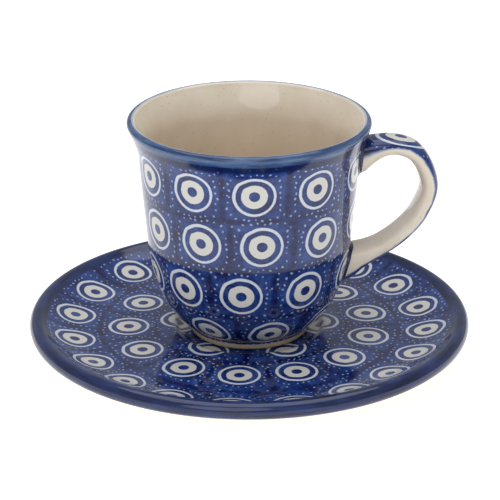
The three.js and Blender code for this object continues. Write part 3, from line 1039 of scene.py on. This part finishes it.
# %% The saucer's material
def saucer_glaze():
    """The same cobalt, prints and glaze, with a dark slate rim, cream underside and bare foot ring."""
    material, tree = begin_material("sponged_cobalt_saucer_stoneware")
    place = add(tree, "TexCoord").outputs["Object"]
    along = wandered(tree, "along", place, by=0.3, waves=8.333)
    rim_inner = from_middle[dish_start] - 2.0
    rim_outer = from_middle[rim_start] + 3.0
    in_band = add(tree, "MapRange", [along, rim_inner, rim_inner + 0.3, 0.0, 1.0])
    under = add(tree, "MapRange", [along, rim_outer, rim_outer + 0.4, 0.0, 1.0])
    height = add(tree, "SeparateXYZ", [place]).outputs["Z"]
    foot = add(tree, "MapRange", [height, 0.8 * MM, 1.1 * MM, 1.0, 0.0])
    colour = layered(
        tree,
        stamped_field(tree, flat=True),
        (in_band, banded(tree, place, "#0d1738", "#162450", "#203365")),
        (under, cream_clay(tree, place)),
        (foot, "#b39d80"),
    )
    glazed(tree, colour, add(tree, "MapRange", [foot, 0.0, 1.0, GLAZE_ROUGHNESS, CLAY_ROUGHNESS]))
    return material


# %% The handle's material
EYE_ALONG = 14.5  # millimetres from the upper root to the middle of the print
EYE_NUMBER = 7.0


def handle_glaze():
    """Cream glazed strap whose back is brushed with cobalt and carries one print."""
    material, tree = begin_material("brushed_strap_stoneware")
    place = add(tree, "TexCoord").outputs["Object"]
    along = add(tree, "Attribute", attribute_name="along").outputs["Fac"]
    across = add(tree, "Attribute", attribute_name="across").outputs["Fac"]
    up = add(tree, "Math subtract", [EYE_ALONG, along])
    print_at = {"Across": across, "Up": up, "Number": EYE_NUMBER}
    prints = add(tree, "Group", print_at, node_tree=sponge).outputs
    near_root = add(tree, "MapRange", [along, 2.0, 8.0, 1.0, 0.25])
    painted = printed(tree, cobalt_ground(tree, near_root), prints, prints["Dots"])
    edge = wandered(tree, "brushed", place, by=1.0, waves=3.333)
    halo = add(tree, "MapRange", [edge, -0.5, 0.2, 0.0, 1.0])
    core = add(tree, "MapRange", [edge, 0.2, 0.9, 0.0, 1.0])
    glazed(tree, layered(tree, cream_clay(tree, place), (halo, "#8496b4"), (core, painted)))
    return material


# %% The seams' material
def slip_glaze():
    """Slip painted with a loaded brush, so the cobalt is nearly black."""
    material, tree = begin_material("dark_cobalt_slip")
    glazed(tree, add(tree, "Mix", [0.6, cobalt_ground(tree, 0.6), "#0e1436"], data_type="RGBA"))
    return material


seam_glaze = slip_glaze()
for piece, material in (
    (bowl, bowl_glaze()),
    (saucer, saucer_glaze()),
    (handle, handle_glaze()),
    (seams[0], seam_glaze),
    (seams[1], seam_glaze),
):
    piece.data.materials.append(material)
    print(piece.name, "has", material.name, "with", len(material.node_tree.nodes), "nodes")

# %% [markdown]
# ## Bodies
#
# The saucer is one body, and the cup is the other: it lifts off the saucer with its handle and seams.

# %% Tie the pieces to the frame
for piece, body, node, slot in (
    (saucer, "saucer", "saucer", "saucer_glaze"),
    (bowl, "cup", "cup_bowl", "bowl_glaze"),
    (handle, "cup", "cup_handle", "handle_glaze"),
    (seams[0], "cup", "slip_bead_upper", "slip_glaze"),
    (seams[1], "cup", "slip_bead_lower", "slip_glaze"),
):
    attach(piece, body)
    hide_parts(node)
    print(piece.name, "rides on the body", body)

# %% [markdown]
# ## The studio
#
# Glossy pottery shows its surroundings. Here they are a pale table that runs out of the picture, a soft
# grey-white room, and two soft panels: one overhead that models the shapes, and one behind the camera
# that fills the front. The room is dimmer than the panels, so the glaze stays deep instead of milky. A
# picture of a real room would reflect more richly, but plain panels need no file.

# %% The table
TABLE_SIDE = 8.0
TABLE_GLOW = 0.52


def table_top():
    """A square of pale paper, a hair under the foot of the saucer, lit from within as a light table is."""
    side, top = TABLE_SIDE / 2, -0.1 * MM
    corners = [(-side, -side, top), (side, -side, top), (side, side, top), (-side, side, top)]
    mesh = bpy.data.meshes.new("pale_table")
    mesh.from_pydata(corners, [], [(0, 1, 2, 3)])
    made = bpy.data.objects.new("pale_table", mesh)
    bpy.context.scene.collection.objects.link(made)
    material, tree = begin_material("pale_paper")
    grain = add(tree, "TexNoise", {"Vector": add(tree, "TexCoord").outputs["Object"], "Scale": every(16.667)})
    paper = add(tree, "ValToRGB", [grain], ramp=[(0.3, "#f1f0ef"), (0.7, "#f6f5f5")])
    surface = {"Base Color": paper, "Roughness": 0.9, "Specular IOR Level": 0.0}
    glow = {"Emission Color": "#ffffff", "Emission Strength": TABLE_GLOW}
    add(tree, "OutputMaterial", {"Surface": add(tree, "BsdfPrincipled", surface | glow)})
    mesh.materials.append(material)


table_top()
print("the table is", TABLE_SIDE, "m wide")

# %% The room and its lamps
ROOM_LIGHT = 0.45

scene = bpy.context.scene
scene.view_settings.view_transform = "Standard"
world = bpy.data.worlds.new("white_room")
scene.world = world
world.use_nodes = True
world.node_tree.nodes["Background"].inputs["Color"].default_value = (1, 1, 1, 1)
world.node_tree.nodes["Background"].inputs["Strength"].default_value = ROOM_LIGHT


def lamp(name, place, aim, size, power):
    """A round soft panel in metres and watts, turned to face a point."""
    data = bpy.data.lights.new(name, "AREA")
    data.shape = "DISK"
    data.size = size
    data.energy = power
    made = bpy.data.objects.new(name, data)
    scene.collection.objects.link(made)
    made.location = place
    made.rotation_euler = (Vector(aim) - Vector(place)).to_track_quat("-Z", "Y").to_euler()
    print(name, "of", size, "m gives", power, "W")


lamp("overhead_panel", (0.0, 0.15, 1.5), (0, 0, 0), 1.8, 14.0)
lamp("front_panel", (-0.5, -1.9, 1.3), (0, 0, 0.05), 1.7, 11.0)

# %% [markdown]
# ## The camera
#
# A long lens from seven tenths of a metre looks down by 22 degrees. It stands three degrees round from the
# front, so that the handle points to the right and a little away.

# %% The camera
EYE_DISTANCE = 0.6822
EYE_DOWN = math.radians(21.93)
EYE_ROUND = math.radians(-3)
LENS = 137.7
AIM_HEIGHT = 0.0396

camera_data = bpy.data.cameras.new("camera")
camera_data.lens = LENS
camera_data.sensor_width = 36
camera = bpy.data.objects.new("camera", camera_data)
scene.collection.objects.link(camera)
aim = Vector((0.00026, 0, AIM_HEIGHT))
back = EYE_DISTANCE * math.cos(EYE_DOWN)
rise = EYE_DISTANCE * math.sin(EYE_DOWN)
camera.location = aim + Vector((back * math.sin(EYE_ROUND), -back * math.cos(EYE_ROUND), rise))
camera.rotation_euler = (aim - camera.location).to_track_quat("-Z", "Y").to_euler()
scene.camera = camera
print("camera at", [round(v, 3) for v in camera.location])
